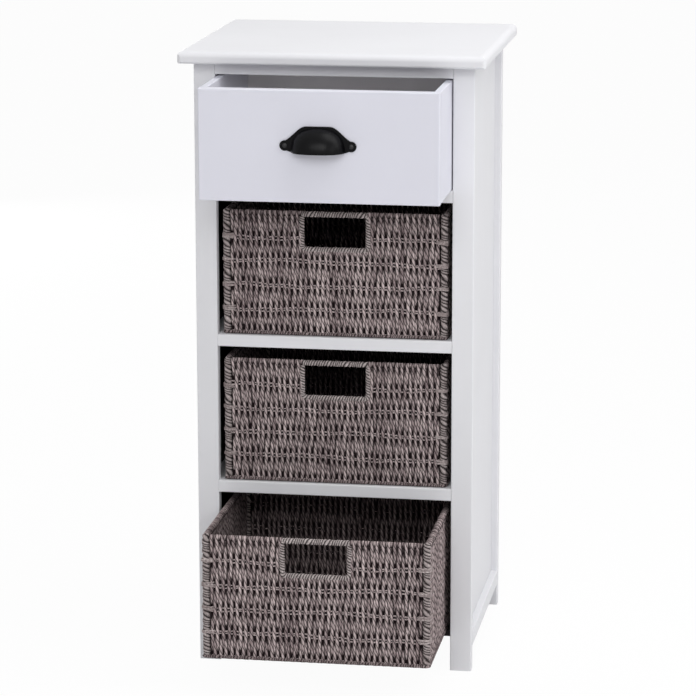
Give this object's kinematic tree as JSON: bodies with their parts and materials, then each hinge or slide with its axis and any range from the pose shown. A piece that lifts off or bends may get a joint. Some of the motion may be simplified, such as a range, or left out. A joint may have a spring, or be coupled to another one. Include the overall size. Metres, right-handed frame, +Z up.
{
  "type": "bathroom storage tower",
  "caption": "Narrow free-standing painted wood storage tower with a pull-out drawer below its top board and woven baskets that slide out of the open bays underneath.",
  "frame": {"origin": "on the floor, at the centre of the bounding box seen from above, in the pictured pose", "axes": "+Z up, -Y towards the front, the way the drawer and the baskets slide out, +X to the right seen from the front"},
  "size_m": [0.397, 0.493, 0.817],
  "materials": {
    "white_paint": "satin white paint over timber and board",
    "bare_wood": "unpainted, inside the cabinet",
    "black_metal": "black, semi-matt",
    "steel": "dull plated screws",
    "paper_rope": "matt twisted paper rope, grey-brown",
    "wrapped_rope": "matt paper rope wound round the edges",
    "basket_wire": "dark coated wire"
  },
  "bodies": {
    "cabinet": {"top_board": "white_paint", "front_post_left": "white_paint", "front_post_right": "white_paint", "back_post_left": "white_paint", "back_post_right": "white_paint", "side_panel_left": "white_paint", "side_panel_right": "white_paint", "side_rail_left": "white_paint", "side_rail_right": "white_paint", "top_side_rail_left": "bare_wood", "top_side_rail_right": "bare_wood", "top_front_rail": "white_paint", "drawer_front_rail": "white_paint", "upper_front_rail": "white_paint", "lower_front_rail": "white_paint", "top_back_rail": "bare_wood", "drawer_back_rail": "bare_wood", "upper_back_rail": "bare_wood", "lower_back_rail": "bare_wood", "bottom_back_rail": "bare_wood", "upper_shelf": "white_paint", "lower_shelf": "white_paint", "bottom_panel": "white_paint", "upper_bearer_left": "bare_wood", "upper_bearer_right": "bare_wood", "lower_bearer_left": "bare_wood", "lower_bearer_right": "bare_wood", "drawer_runner_left": "bare_wood", "drawer_runner_right": "bare_wood", "back_panel": "white_paint", "back_panel_screws": "steel", "top_board_screws": "steel", "frame_dowels": "bare_wood"},
    "drawer": {"drawer_front": "white_paint", "drawer_side_left": "white_paint", "drawer_side_right": "white_paint", "drawer_back": "white_paint", "drawer_bottom": "white_paint", "drawer_dowels": "bare_wood", "cup_pull": "black_metal", "cup_pull_screws": "steel"},
    "basket_top": {"basket_top_weave": "paper_rope", "basket_top_rim": "wrapped_rope", "basket_top_wires": "basket_wire"},
    "basket_middle": {"basket_middle_weave": "paper_rope", "basket_middle_rim": "wrapped_rope", "basket_middle_wires": "basket_wire"},
    "basket_bottom": {"basket_bottom_weave": "paper_rope", "basket_bottom_rim": "wrapped_rope", "basket_bottom_wires": "basket_wire"}
  },
  "joints": [
    {"name": "drawer_slide", "type": "slide", "parent": "cabinet", "child": "drawer", "axis": [0, -1, 0], "range_m": [-0.119, 0.19]},
    {"name": "basket_top_slide", "type": "slide", "parent": "cabinet", "child": "basket_top", "axis": [0, -1, 0], "range_m": [0, 0.305]},
    {"name": "basket_middle_slide", "type": "slide", "parent": "cabinet", "child": "basket_middle", "axis": [0, -1, 0], "range_m": [0, 0.305]},
    {"name": "basket_bottom_slide", "type": "slide", "parent": "cabinet", "child": "basket_bottom", "axis": [0, -1, 0], "range_m": [-0.157, 0.148]}
  ]
}
